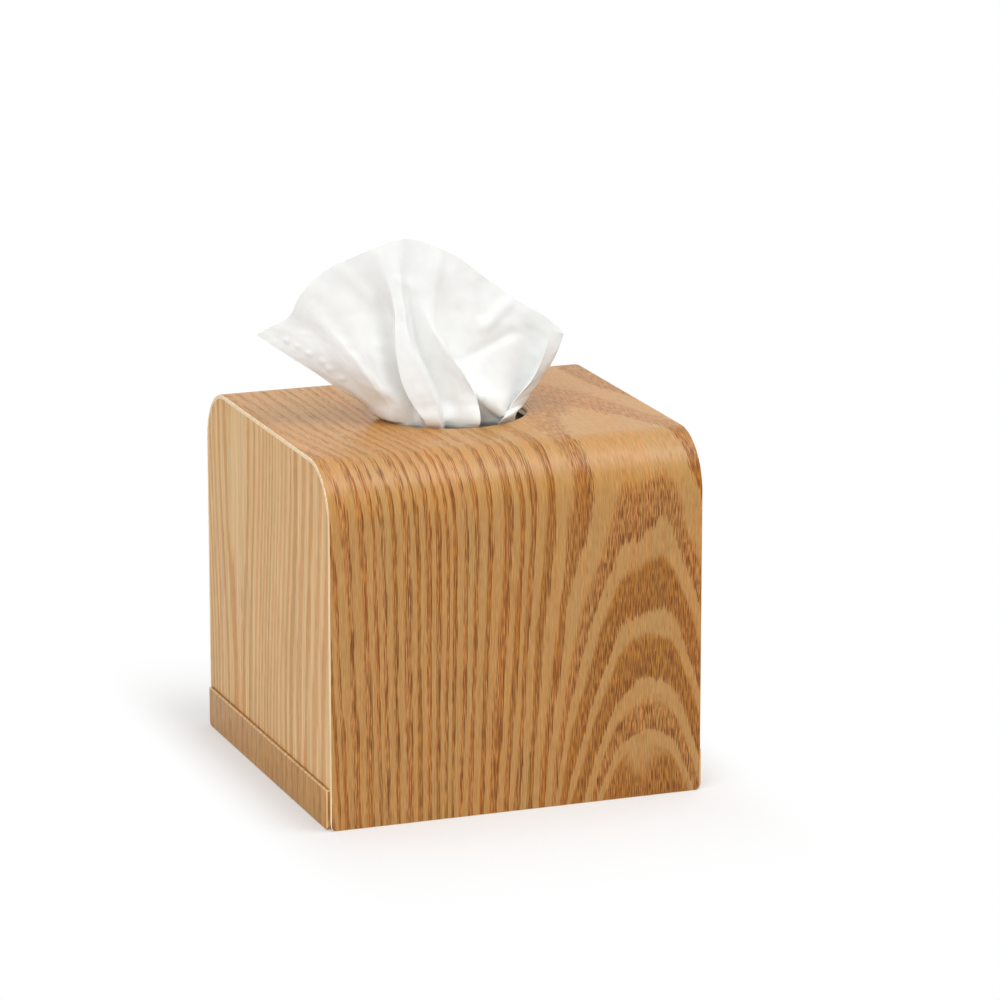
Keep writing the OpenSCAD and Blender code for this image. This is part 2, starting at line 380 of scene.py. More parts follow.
def speckle(tree, scale, detail):
    """Even noise on the piece's own coordinates."""
    return out_of(tree, "ShaderNodeTexNoise", {"Vector": object_place(tree), "Scale": scale,
                  "Detail": detail})


def carton_board(name, color, worn):
    """Coated board with a faint mottle, whiter where the folds are rubbed, and a darker foot."""
    material, tree, shader = principled(name, IOR=1.45, Specular_IOR_Level=0.4)
    mottle = speckle(tree, 900.0, 3.0)
    paler = [min(1, c * 1.05) for c in color]
    tint = blended(ramp(speckle(tree, 22.0, 2.0), 0.3, 0.7), (*color, 1), (*paler, 1))
    height = parts_of(object_place(tree))["Z"]
    tint = blended(ramp(height, band_top * MM, (band_top + band_fade) * MM, 1.0, 0.0), tint, (*band_color, 1))
    tint = blended(times(ramp(mottle, 0.45, 0.75), worn), tint, rubbed_white)
    feed(shader, Base_Color=tint, Roughness=ramp(mottle, 0.3, 0.7, 0.42, 0.6),
         Normal=bumped(mottle, 0.25, 0.03))
    return material


# the face's warm grey is the board's colour, kept this dark partly as painted shade for the inside of the
# cover's hole above it
carton_face = carton_board("carton_face", (0.50, 0.48, 0.43), 0.12)
carton_fold = carton_board("carton_fold", (0.60, 0.58, 0.54), 0.75)
eased("carton_folded", "carton", "carton", [carton_face, carton_fold], 0.35)

mouth_half_straight, mouth_r, board_thickness = 16.0, 23.0, 0.8
nib_count, nib_length, nib_half_width = 64, 1.5, 0.38
nib_sides, nib_taper, nib_shortest, nib_longest = 6, 0.45, 0.6, 1.1
oval_steps, fully_round = 24, 0.4999
flap_thickness, flap_sunk, flap_inset, flap_corner, seam_gap = 0.45, 0.05, 0.8, 3.0, 1.2
flap_softness = 0.15


def ended(tree, geometry, *coats):
    """Ends a Geometry Nodes tree with real meshes and their materials."""
    made = out_of(tree, "GeometryNodeRealizeInstances", {"Geometry": geometry})
    for coat in coats:
        made = out_of(tree, "GeometryNodeSetMaterial", {"Geometry": made, **coat})
    give_out(tree, made)
    return tree


def torn_perforation():
    """Nibs of board left round the opening, one at each bridge of the torn perforation."""
    tree, given = new_tree("torn_perforation", "GeometryNodeTree", {
        "Float": ["Mouth length", "Mouth width", "Nib length", "Nib half width", "Height"],
        "Int": ["Nibs", "Seed"], "Material": ["Board"]}, {"Geometry": ["Torn nibs"]})
    oblong = out_of(tree, "GeometryNodeCurvePrimitiveQuadrilateral",
                    {"Width": given["Mouth length"], "Height": given["Mouth width"]}, mode="RECTANGLE")
    oval = out_of(tree, "GeometryNodeFilletCurve", {"Curve": oblong, "Count": oval_steps,
                  "Limit Radius": True, "Radius": times(given["Mouth width"], fully_round)}, mode="POLY")
    bridges = out_of(tree, "GeometryNodeResampleCurve", {"Curve": oval, "Count": given["Nibs"]}, mode="COUNT")
    across = vector_of("CROSS_PRODUCT", out_of(tree, "GeometryNodeInputTangent"), (0, 0, 1))
    outwards = vector_of("DOT_PRODUCT", across, out_of(tree, "GeometryNodeInputPosition"))
    inwards = vector_of("SCALE", across, scale=times(-1.0, sum_of("SIGN", outwards)))
    turned = out_of(tree, "FunctionNodeAlignRotationToVector", {"Vector": inwards}, axis="Z")
    nib = out_of(tree, "GeometryNodeMeshCone", {"Vertices": nib_sides, "Depth": given["Nib length"],
                 "Radius Bottom": given["Nib half width"],
                 "Radius Top": times(given["Nib half width"], nib_taper)})
    chance = node(tree, "FunctionNodeRandomValue", {"Min": nib_shortest, "Max": nib_longest,
                  "Seed": given["Seed"]}, data_type="FLOAT").outputs
    size = combined(1.0, 1.0, next(s for s in chance if s.enabled))
    nibs = out_of(tree, "GeometryNodeInstanceOnPoints", {"Points": bridges, "Instance": nib,
                  "Rotation": turned, "Scale": size})
    lifted = out_of(tree, "GeometryNodeTranslateInstances", {"Instances": nibs, "Local Space": False,
                    "Translation": combined(z=given["Height"])})
    return ended(tree, lifted, {"Material": given["Board"]})


def grown(obj, tree, values):
    """Runs a Geometry Nodes tree on a piece with these inputs and leaves a plain mesh."""
    made = obj.modifiers.new(tree.name, "NODES")
    made.node_group = tree
    for item in tree.interface.items_tree:
        if item.name in values:
            made[item.identifier] = values[item.name]
    return finished(obj)


carton_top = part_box("carton")[1].z / MM
nibs = grown(new_piece("torn_perforation", bpy.data.meshes.new("torn_perforation")), torn_perforation(), {
    "Mouth length": 2 * (mouth_half_straight + mouth_r) * MM, "Mouth width": 2 * mouth_r * MM,
    "Nibs": nib_count, "Nib length": nib_length * MM, "Nib half width": nib_half_width * MM, "Seed": 4,
    "Board": carton_fold, "Height": (carton_top - board_thickness / 2) * MM})
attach(nibs, "carton")


def closed_mesh(name, whole, *materials):
    """The mesh of a closed bmesh, with its normals outward."""
    bmesh.ops.recalc_face_normals(whole, faces=whole.faces)
    mesh = bpy.data.meshes.new(name)
    whole.to_mesh(mesh)
    whole.free()
    put_on(mesh, *materials)
    return mesh


def glued_flaps():
    """The long flaps that close both ends of the carton, upper and lower, with a seam between them."""
    low, high = (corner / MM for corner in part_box("carton"))
    middle, half_w = (low.z + high.z) / 2, high.y - flap_inset
    whole = bmesh.new()
    for side in (-1, 1):
        for folded, free, lean in ((low.z + flap_inset, middle - seam_gap / 2, flap_corner),
                                   (high.z - flap_inset, middle + seam_gap / 2, -flap_corner)):
            outline = [(-half_w, folded), (half_w, folded), (half_w, free - lean),
                       (half_w - flap_corner, free), (-half_w + flap_corner, free), (-half_w, free - lean)]
            inner, outer = (high.x - flap_sunk) * side, (high.x + flap_thickness) * side
            rings = [[whole.verts.new(Vector((x, y, z)) * MM) for y, z in outline] for x in (inner, outer)]
            whole.faces.new(rings[0])
            whole.faces.new(rings[1][::-1])
            for k in range(len(outline)):
                after = (k + 1) % len(outline)
                whole.faces.new([rings[0][k], rings[0][after], rings[1][after], rings[1][k]])
    return closed_mesh("glued_end_flaps", whole, carton_face, carton_fold)


flaps = new_piece("glued_end_flaps", glued_flaps())
soften = flaps.modifiers.new("soften", "BEVEL")
soften.width, soften.segments, soften.material = flap_softness * MM, 2, 1
finished(flaps)
mark_sharp(flaps.data)
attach(flaps, "carton")


# Slit film
# A clear film glued under the opening. Its slit grips the tissue that stands up and peels it off
# the next one.
film, film_tree, film_shader = principled("slit_film_clear", Base_Color=(0.86, 0.90, 0.92, 1),
                                          Roughness=0.16, IOR=1.5, Alpha=0.45)
film_place = out_of(film_tree, "ShaderNodeMapping", {"Vector": object_place(film_tree),
                    "Scale": (30, 160, 30)})
film_wave = out_of(film_tree, "ShaderNodeTexNoise", {"Vector": film_place, "Scale": 1.0, "Detail": 2.0})
feed(film_shader, Normal=bumped(film_wave, 0.7, 0.6))
put_on(nodes["slit_film"].data, film)


# Tissue stack
# The tissues still in the carton, each folded once and laid into the next, so that the pile
# shows one soft fold after another.
paper, paper_tree, paper_shader = principled("folded_paper", Roughness=0.92, Specular_IOR_Level=0.2)
paper_crepe = speckle(paper_tree, 1400.0, 3.0)
feed(paper_shader, Base_Color=blended(paper_crepe, (0.82, 0.82, 0.80, 1), (0.90, 0.90, 0.89, 1)),
     Normal=bumped(paper_crepe, 0.4, 0.05))

pile_low, pile_high = (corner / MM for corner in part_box("tissue_stack"))
leaf_count, leaf_slip = 80, 0.28
pitch = (pile_high.z - pile_low.z) / leaf_count
leaf_half = pile_high.x - 2 * leaf_slip
leaf_fill, layer_share, fold_steps = 0.96, 0.42, 9


def folded_leaf():
    """One tissue folded over on itself: two soft layers joined by a round fold."""
    thick = pitch * leaf_fill
    fold_r, layer = thick / 2, thick * layer_share
    angles = np.radians(np.linspace(-90, 90, fold_steps))
    profile = []
    for radius, start in ((fold_r, 0.0), (fold_r - layer, layer)):
        line = [(-leaf_half, start)]
        line += [(leaf_half - fold_r + radius * math.cos(a), fold_r + radius * math.sin(a)) for a in angles]
        profile.append(line + [(-leaf_half, thick - start)])
    whole = bmesh.new()
    ends = [[[whole.verts.new(Vector((x, y, z)) * MM) for x, z in line] for line in profile]
            for y in (-leaf_half, leaf_half)]
    (a, b), (c, d) = ends
    steps = len(profile[0]) - 1
    for k in range(steps):
        for one, other in ((a, c), (b, d), (a, b), (c, d)):
            whole.faces.new([one[k], one[k + 1], other[k + 1], other[k]])
    for k in (0, steps):
        whole.faces.new([a[k], b[k], d[k], c[k]])
    return closed_mesh("folded_leaf", whole)


def leaf_pile():
    """Piles folded leaves, each turned the other way round and slipped a little."""
    tree, given = new_tree("leaf_pile", "GeometryNodeTree", {
        "Geometry": ["Leaf"], "Int": ["Leaves", "Seed"], "Float": ["Pitch", "Slip", "Bottom"],
        "Material": ["Paper"]}, {"Geometry": ["Pile"]})
    line = out_of(tree, "GeometryNodeMeshLine", {"Count": given["Leaves"],
                  "Start Location": combined(z=given["Bottom"]), "Offset": combined(z=given["Pitch"])})
    least, most = (vector_of("SCALE", way, scale=given["Slip"]) for way in ((-1, -1, 0), (1, 1, 0)))
    slip = out_of(tree, "FunctionNodeRandomValue", {"Min": least, "Max": most, "Seed": given["Seed"]},
                  data_type="FLOAT_VECTOR")
    slipped = out_of(tree, "GeometryNodeSetPosition", {"Geometry": line, "Offset": slip})
    number = out_of(tree, "GeometryNodeInputIndex")
    pile = out_of(tree, "GeometryNodeInstanceOnPoints", {"Points": slipped, "Instance": given["Leaf"],
                  "Rotation": combined(z=times(sum_of("MODULO", number, 2.0), math.pi))})
    return ended(tree, pile, {"Material": given["Paper"]})


pile = grown(new_piece("folded_tissue_pile", folded_leaf()), leaf_pile(), {
    "Leaves": leaf_count, "Seed": 7, "Pitch": pitch * MM, "Slip": leaf_slip * MM, "Bottom": pile_low.z * MM,
    "Paper": paper})
mark_sharp(pile.data)
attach(pile, "carton")
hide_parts("tissue_stack")


# Plies of the bent sheet
# Five leaves of wood, glued and pressed over a round mould: a lining veneer, three plies and the
# face veneer. Each is cut flat, with the hole, and then bent, so the grain runs up the front,
# over the top and down the back. The two outer leaves are wider and form the rebate.
front_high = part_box("face_veneer")[1]
cover_half_w, cover_half_d, cover_h = front_high.x / MM, front_high.y / MM, front_high.z / MM
bend_r, hole_r, lower_corner_r, face_arris = 22.0, 30.0, 2.0, 0.45
veneer_t, ply_t, panel_t = 0.6, 1.0, 4.2
inner_half_w = cover_half_w - panel_t
straight = cover_h - bend_r
half_top = cover_half_d - bend_r
half_leaf = half_top + bend_r * math.pi / 2 + straight
# grid lines across a leaf, within the hole's block and beside it, then along it, and how much they crowd
fine, plain = (40, 34, 40, 126, 0.12), (24, 12, 24, 46, 0.0)
# the grid turns from square to round between this share of the hole's radius and this one
block_share, reach_share, least_corner = 0.9, 1.55, 0.05


def bend_over_mould():
    """Bends a flat leaf, whose depth below the outer face is -Z, over the arch of the mould."""
    tree, given = new_tree("bend_over_mould", "GeometryNodeTree", {
        "Geometry": ["Leaf"], "Float": ["Straight", "Half top", "Bend radius"],
        "Material": ["Face", "Cut edge"]}, {"Geometry": ["Bent leaf"]})
    place = out_of(tree, "GeometryNodeInputPosition")
    kept = out_of(tree, "GeometryNodeStoreNamedAttribute", {"Geometry": given["Leaf"], "Name": "grain",
                  "Value": vector_of("MULTIPLY", place, (1 / MM, 1 / MM, -1 / MM))},
                  data_type="FLOAT_VECTOR", domain="POINT")
    split = parts_of(place)
    along, side = sum_of("ABSOLUTE", split["Y"]), sum_of("SIGN", split["Y"])
    past_top = minus(along, given["Half top"])
    turn = sum_of("MAXIMUM", sum_of("DIVIDE", past_top, given["Bend radius"]), 0.0)
    turn = sum_of("MINIMUM", turn, math.pi / 2)
    radius = plus(given["Bend radius"], split["Z"])
    reach = times_plus(sum_of("SINE", turn), radius, sum_of("MINIMUM", along, given["Half top"]))
    down = sum_of("MAXIMUM", minus(past_top, times(given["Bend radius"], math.pi / 2)), 0.0)
    height = times_plus(sum_of("COSINE", turn), radius, minus(given["Straight"], down))
    moved = out_of(tree, "GeometryNodeSetPosition", {"Geometry": kept,
                   "Position": combined(split["X"], times(reach, side), height)})
    cut = out_of(tree, "GeometryNodeInputNamedAttribute", {"Name": "cut"}, data_type="BOOLEAN")
    return ended(tree, moved, {"Material": given["Face"]},
                 {"Selection": cut, "Material": given["Cut edge"]})


MOULD = bend_over_mould()


def leaf_lines(half, block, inner, outer, crowded):
    """Grid lines from -half to half with a line on each side of a block in the middle. They crowd
    towards the ends, where the corners are round."""
    t = np.linspace(0, 1, outer + 1)
    ends = block + (half - block) * (t * (1 + crowded) - crowded * t ** 9)
    middle = np.linspace(-block, block, inner + 1)
    return np.concatenate([-ends[::-1], middle[1:-1], ends])


def square_to_round(p, q):
    """Moves points of a square of the same half width onto circles about its middle."""
    big = np.maximum(np.abs(p), np.abs(q)) + 1e-12
    wide = np.abs(p) >= np.abs(q)
    turned = np.where(wide, q / np.where(p == 0, 1e-12, p), p / np.where(q == 0, 1e-12, q)) * math.pi / 4
    sign = np.where(wide, np.sign(p), np.sign(q))
    x = np.where(wide, np.cos(turned), np.sin(turned)) * sign
    y = np.where(wide, np.sin(turned), np.cos(turned)) * sign
    return x, y, big


def leaf_points(half_w, shrink, corner, counts):
    """Grid of a flat leaf, smaller than its outline by shrink all round, the hole included."""
    across_in, across_out, along_in, along_out, crowded = counts
    block, reach = hole_r * block_share, hole_r * reach_share
    xs = leaf_lines(half_w - shrink, block, across_in, across_out, crowded)
    ys = leaf_lines(half_leaf - shrink, block, along_in, along_out, crowded)
    x, y = np.meshgrid(xs, ys)
    ux, uy, big = square_to_round(x, y)
    near = np.clip((reach - big) / (reach - block), 0, 1)
    ring = hole_r + shrink + (big - block) * (reach - hole_r - shrink) / (reach - block)
    x, y = x * (1 - near) + ux * ring * near, y * (1 - near) + uy * ring * near
    if corner > 0:
        r = max(corner - shrink, least_corner)
        cx, cy = half_w - shrink - r, half_leaf - shrink - r
        p, q = np.abs(x) - cx, np.abs(y) - cy
        at = (p > 0) & (q > 0)
        ux, uy, big = square_to_round(np.where(at, p, 1), np.where(at, q, 1))
        x = np.where(at, np.sign(x) * (cx + ux * big), x)
        y = np.where(at, np.sign(y) * (cy + uy * big), y)
    inside = (np.maximum(np.abs(xs[None, :]), np.abs(ys[:, None])) < block - 1e-6)
    return x, y, inside


def mesh_of(name, points, faces):
    """A mesh from points in millimetres."""
    mesh = bpy.data.meshes.new(name)
    mesh.from_pydata((np.asarray(points) * MM).tolist(), [], np.asarray(faces).tolist())
    return mesh


def loop_round(r0, c0, r1, c1):
    """The places of a grid round a block of its cells."""
    loop = [(r0, c) for c in range(c0, c1)] + [(r, c1) for r in range(r0, r1)]
    return loop + [(r1, c) for c in range(c1, c0, -1)] + [(r, c0) for r in range(r1, r0, -1)]


def flat_leaf(name, half_w, inset, thickness, arris, corner, counts):
    """A flat leaf as a closed solid with its outer arrises rounded; its sawn faces are marked cut."""
    layers = [(0.0, inset)]
    if arris:
        angles = [math.pi / 2 * k / arris_steps for k in range(arris_steps + 1)]
        layers = [(arris * (1 - math.sin(a)), inset + arris * (1 - math.cos(a))) for a in angles]
    layers.append((0.0, inset + thickness))
    grids = [leaf_points(half_w, shrink, corner, counts) for shrink, _ in layers]
    rows, columns = grids[0][0].shape
    inside = grids[0][2]
    index = -np.ones((len(layers), rows, columns), int)
    points = []
    solid = ~(inside[:-1, :-1] | inside[1:, 1:] | inside[:-1, 1:] | inside[1:, :-1])
    hole_cells = np.argwhere(~solid)
    r0, c0 = hole_cells.min(0)
    r1, c1 = hole_cells.max(0) + 1
    solid[r0:r1, c0:c1] = False

    def point(layer, r, c):
        if index[layer, r, c] < 0:
            index[layer, r, c] = len(points)
            points.append((grids[layer][0][r, c], grids[layer][1][r, c], -layers[layer][1]))
        return int(index[layer, r, c])

    faces, cut = [], []
    for r, c in np.argwhere(solid):
        corners = [(r, c), (r, c + 1), (r + 1, c + 1), (r + 1, c)]
        faces.append([point(0, *k) for k in corners])
        faces.append([point(len(layers) - 1, *k) for k in reversed(corners)])
        cut += [False, False]
    for loop, way in ((loop_round(0, 0, rows - 1, columns - 1), 1), (loop_round(r0, c0, r1, c1), -1)):
        for layer in range(len(layers) - 1):
            for k, here in enumerate(loop):
                there = loop[(k + 1) % len(loop)]
                quad = [point(layer, *here), point(layer + 1, *here)]
                quad += [point(layer + 1, *there), point(layer, *there)]
                faces.append(quad[::way])
                cut.append(layer > 0 or not arris)
    mesh = mesh_of(name, points, faces)
    mesh.attributes.new("cut", "BOOLEAN", "FACE").data.foreach_set("value", cut)
    return mesh


# The figure of the face veneer. Growth rings leave the front's lower edge at these distances from
# the middle of the cathedral figure, and each comes with the share of it that is brown.
figure_middle = 52.5
ring_starts = [(0.0, 0.9), (20.0, 0.6), (26.0, 0.78), (32.3, 0.66), (36.7, 0.4), (42.0, 0.4), (47.0, 0.42),
               (52.0, 0.5), (56.0, 0.45), (60.4, 0.5), (66.2, 0.4), (70.9, 0.5), (75.0, 0.35), (78.4, 0.5),
               (80.9, 0.4), (83.9, 0.45), (87.5, 0.4), (91.6, 0.5), (94.6, 0.55), (99.6, 0.4), (103.4, 0.5),
               (106.8, 0.4), (109.9, 0.5), (115.1, 0.45), (120.5, 0.4), (123.2, 0.5), (125.9, 0.4),
               (131.0, 0.5), (137.0, 0.5), (145.0, 0.5)]
# How far below its own apex a ring crosses at each distance from the middle of the figure
arch_shape = [(0, 0), (6, 2.5), (10, 6), (13, 11), (15, 16), (18, 22), (20, 28), (22, 34), (24, 41), (26, 48),
              (28, 55), (31, 66), (33, 78), (35, 92), (36.7, 106), (42, 151), (47, 216), (52, 300), (56, 385),
              (60, 490), (70, 800)]
# How far the figure has risen at each distance up the leaf, and how much a straight ring leans for
# each millimetre of rise at each distance from the figure's middle
rise_at = [0, 106, 128, 150, 600], [0, 106, 124, 130, 355]
tilt_at = [46, 56, 66, 80, 95, 110, 128], [0.08, 0.055, 0.035, 0.012, 0.0, -0.02, -0.05]
# The ragged top of the front's tallest arch, a hump and a dip: place, width and height of each
arch_top, arch_reach, arch_humps = 106, 12, [(58.5, 3.5, 4.0), (48.5, 3.0, -3.5)]
# The figure moves to the left over the top, and its arches end where straight rings begin
shift_from, shift_over, figure_shift = 100, 110, 9.5
arches_end, rings_blend = 44, 12
flat_half_w, flat_blend, plain_ring, plain_first = 38, 16, 5.0, 40
# how far the painted sheen on the top reaches into the bend, and how soft its edge is
sheen_past_top, sheen_blend = 24, 30


def soft_step(t):
    """Goes smoothly from 0 to 1 while t does."""
    t = np.clip(t, 0, 1)
    return t * t * (3 - 2 * t)


def ring_at(distance, rings, before=()):
    """The ring number at a distance, where each ring has a start and the share of it that is brown."""
    knots, numbers = [place for place, _ in before], [number for _, number in before]
    for i, (place, brown) in enumerate(rings[:-1]):
        knots += [place, place + brown * (rings[i + 1][0] - place)]
        numbers += [i, i + 0.5]
    return np.interp(distance, knots + [rings[-1][0]], numbers + [len(rings) - 1])


def ring_number(x, along):
    """Ring numbers on the leaf, where along is the distance up from the front's lower edge."""
    distance, drop = np.array(arch_shape, float).T
    rise = np.interp(along, *rise_at)
    off = np.abs(x - (figure_middle - figure_shift * soft_step((along - shift_from) / shift_over)))
    bumps = sum(height * np.exp(-((x - place) / width) ** 2) for place, width, height in arch_humps)
    bumps = bumps * np.exp(-((along - arch_top) / arch_reach) ** 2)
    arched = np.interp(rise - bumps + np.interp(off, distance, drop), drop, distance)
    straight_run = off + np.interp(off, *tilt_at) * rise
    t = soft_step((off - arches_end) / rings_blend)
    return ring_at(arched * (1 - t) + straight_run * t, ring_starts)


def keep_values(mesh, **values):
    """Stores numbers on the mesh's points for its material."""
    for name, numbers in values.items():
        mesh.attributes.new(name, "FLOAT", "POINT").data.foreach_set("value", numbers)


def bent_leaf(name, node_name, inset, thickness, half_w, face, edge, corner=0, arris=0, counts=plain,
              figured=False):
    """Cuts a leaf, bends it over the mould and glues it in place of its carried-over node."""
    obj = new_piece(name, flat_leaf(name, half_w, inset, thickness, arris, corner, counts))
    grown(obj, MOULD, {"Straight": straight * MM, "Half top": half_top * MM, "Bend radius": bend_r * MM,
                       "Face": face, "Cut edge": edge})
    mesh = obj.data
    mark_sharp(mesh, 50.0)
    grain = np.zeros(len(mesh.vertices) * 3)
    mesh.attributes["grain"].data.foreach_get("vector", grain)
    grain = grain.reshape(-1, 3)
    along = grain[:, 1] + half_leaf
    rings = ring_number(grain[:, 0], along) if figured else grain[:, 0] / plain_ring + plain_first
    flat = np.clip((flat_half_w - np.abs(grain[:, 0] - figure_middle)) / flat_blend, 0, 1)
    flat = flat if figured else rings * 0
    # the figure is painted weaker and paler on the top and fades out over the bend: painted sheen, for the
    # bright reflection that washes the top out
    faded = np.clip((half_top + sheen_past_top - np.abs(grain[:, 1])) / sheen_blend, 0, 1)
    keep_values(mesh, ring=rings, flat_sawn=flat, faded=faded)
    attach(obj, "cover")
    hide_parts(node_name)
    return obj


lining_colors = (0.62, 0.43, 0.24), (0.48, 0.30, 0.15), (0.34, 0.19, 0.09)
lining_face = wood("lining_face", *lining_colors, leaf=24.0, bands=0.7, pores=0.7, from_leaf=True)
crossband_face = wood("crossband_face", (0.80, 0.63, 0.42), (0.70, 0.50, 0.30), (0.55, 0.36, 0.2), leaf=21.0,
                      bands=0.4, pores=0.3, from_leaf=True)
crossband_edge = wood("crossband_edge", (0.90, 0.70, 0.44), (0.80, 0.57, 0.32), (0.62, 0.42, 0.24), leaf=22.0,
                      ring_width=1.1, bands=0.4, pores=0.25)
core_edge = wood("core_edge", (0.50, 0.31, 0.16), (0.36, 0.20, 0.09), (0.25, 0.13, 0.06), leaf=23.0,
                 ring_width=0.9, bands=0.8, pores=0.8)
veneer_face = wood("veneer_face", (0.495, 0.254, 0.074), (0.388, 0.146, 0.014), (0.190, 0.054, 0.0),
                   pores=0.9, from_leaf=True, bump=0.03, gloss=1.44)
veneer_edge = wood("veneer_edge", (0.94, 0.78, 0.52), (0.88, 0.66, 0.38), (0.62, 0.40, 0.2), leaf=26.0,
                   ring_width=1.3, bands=0.4, pores=0.25)

depth = veneer_t + 3 * ply_t
bent_leaf("lining_leaf", "lining_veneer", depth, veneer_t, inner_half_w, lining_face,
          veneer_edge)
bent_leaf("inner_crossband_leaf", "inner_crossband", depth - ply_t, ply_t, inner_half_w,
          crossband_face, crossband_edge)
bent_leaf("core_leaf", "core_ply", depth - 2 * ply_t, ply_t, inner_half_w, crossband_face,
          core_edge)
bent_leaf("outer_crossband_leaf", "outer_crossband", veneer_t, ply_t, cover_half_w,
          crossband_face, crossband_edge, lower_corner_r)
bent_leaf("face_leaf", "face_veneer", 0, veneer_t, cover_half_w, veneer_face, veneer_edge,
          lower_corner_r, face_arris, fine, figured=True)


# Side panels
# Flat boards that close the sides, glued into the rebate flush with the edge of the bent sheet.
# Each is a core board between a face veneer and a lining; the grain stands upright.
panel_face = wood("panel_face", (0.72, 0.455, 0.200), (0.575, 0.290, 0.078), (0.44, 0.15, 0.0), leaf=31.0,
                  pores=0.22, from_leaf=True, gloss=1.22, bump=0.012, drift=0.3)
panel_core = wood("panel_core_wood", (0.76, 0.58, 0.37), (0.66, 0.46, 0.27), (0.5, 0.33, 0.18), "ZYX",
                  ring_width=3.0, bands=0.5, pores=0.3, leaf=32.0)
panel_lining = wood("panel_lining_wood", *lining_colors, ring_width=5.0, bands=0.6, pores=0.6, leaf=33.0)
# The panel's figure is a V that opens upwards, behind the middle. These are its ring edges, outwards
# from its middle, and the brown share of each ring.
panel_figure_middle, panel_figure_spread, panel_spread_from, panel_spread_over = 37.0, 9.5, 20, 120
panel_before, other_board = [(-60.0, -0.4)], 40
panel_flat_w, panel_flat_blend, least_flat, most_flat = 25, 40, 0.15, 0.4
panel_rows, panel_arch_rows, panel_columns = 64, 22, 97
panel_rings = [(4.3, 0.4), (12.0, 0.35), (19.0, 0.5), (24.0, 0.4), (28.0, 0.4), (31.5, 0.5), (35.0, 0.4),
               (38.5, 0.5), (42.5, 0.4), (46.5, 0.5), (51.0, 0.4), (56.5, 0.5), (62.0, 0.55), (70.0, 0.5),
               (80.0, 0.4), (90.0, 0.5), (100.0, 0.4), (112.0, 0.5), (125.0, 0.5)]


def grid_quads(rows, columns):
    """The point numbers of a grid, and the four at each of its cells."""
    index = np.arange(rows * columns).reshape(rows, columns)
    corners = [index[:-1, :-1], index[:-1, 1:], index[1:, 1:], index[1:, :-1]]
    return index, np.stack(corners, -1).reshape(-1, 4)


def panel_leaf(name, node_name, side):
    """The face veneer of a side panel, cut to the arch inside the bent sheet's edge."""
    low, high = (np.array(corner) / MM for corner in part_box(node_name))
    lip = cover_half_d - high[1]
    top_r = bend_r - lip
    outer, inner = (low[0], high[0]) if side < 0 else (high[0], low[0])
    heights = np.concatenate([np.linspace(low[2], straight, panel_rows, endpoint=False),
                              straight + top_r * np.sin(np.linspace(0, math.pi / 2, panel_arch_rows))])
    half = half_top + np.sqrt(np.maximum(top_r ** 2 - np.maximum(heights - straight, 0) ** 2, 0))
    spread = np.linspace(-1, 1, panel_columns)
    y = half[:, None] * spread[None, :]
    z = np.repeat(heights[:, None], len(spread), 1)
    rows, columns = y.shape
    front, back = (np.stack([np.full_like(y, x), y, z], -1).reshape(-1, 3) for x in (outer, inner))
    index, quads = grid_quads(rows, columns)
    rim = np.concatenate([index[0, :-1], index[:-1, -1], index[-1, :0:-1], index[:0:-1, 0]])
    strip = np.stack([rim, rim + rows * columns, np.roll(rim, -1) + rows * columns, np.roll(rim, -1)], -1)
    faces = np.concatenate([quads[:, ::-1], quads + rows * columns, strip[:, ::-1]])
    if side > 0:
        faces = faces[:, ::-1]
    points = np.concatenate([front, back])
    mesh = mesh_of(name, points, faces)
    put_on(mesh, panel_face)
    mark_sharp(mesh)
    obj = new_piece(name, mesh)
    grain = np.stack([points[:, 1] * side, points[:, 2], points[:, 0] * side], 1)
    off = np.abs(points[:, 1] - panel_figure_middle)
    risen = soft_step((points[:, 2] - panel_spread_from) / panel_spread_over)
    rings = ring_at(off - panel_figure_spread * risen, panel_rings, panel_before)
    rings = rings + (other_board if side > 0 else 0)
    mesh.attributes.new("grain", "FLOAT_VECTOR", "POINT").data.foreach_set("vector", grain.ravel())
    flat = np.clip((panel_flat_w - off) / panel_flat_blend, least_flat, most_flat)
    keep_values(mesh, ring=rings, flat_sawn=flat)
    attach(obj, "cover")
    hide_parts(node_name)


for side_name, side in (("left", -1), ("right", 1)):
    panel_leaf(side_name + "_panel_leaf", side_name + "_panel_veneer", side)
    put_on(nodes[side_name + "_panel_core"].data, panel_core)
    put_on(nodes[side_name + "_panel_lining"].data, panel_lining)


# Popped-up tissue
# One two-ply tissue, pulled up by its middle fold. It comes up pleated through the slit and the
# hole, leans on the hole's front edge and opens like a fan, with a wing that hangs out at the left.
tail_half_w, pleat_depth = 23.0, 2.5
tail_end, film_top = 118.5, 129.2
sheet_t = 0.22
camera_place, camera_aim = Vector((-0.68844, -1.89268, 0.62697)), Vector((0.0207526, 0, 0.1021021))
camera_lens, camera_sensor, photo_size = 192.819, 36.0, 1000

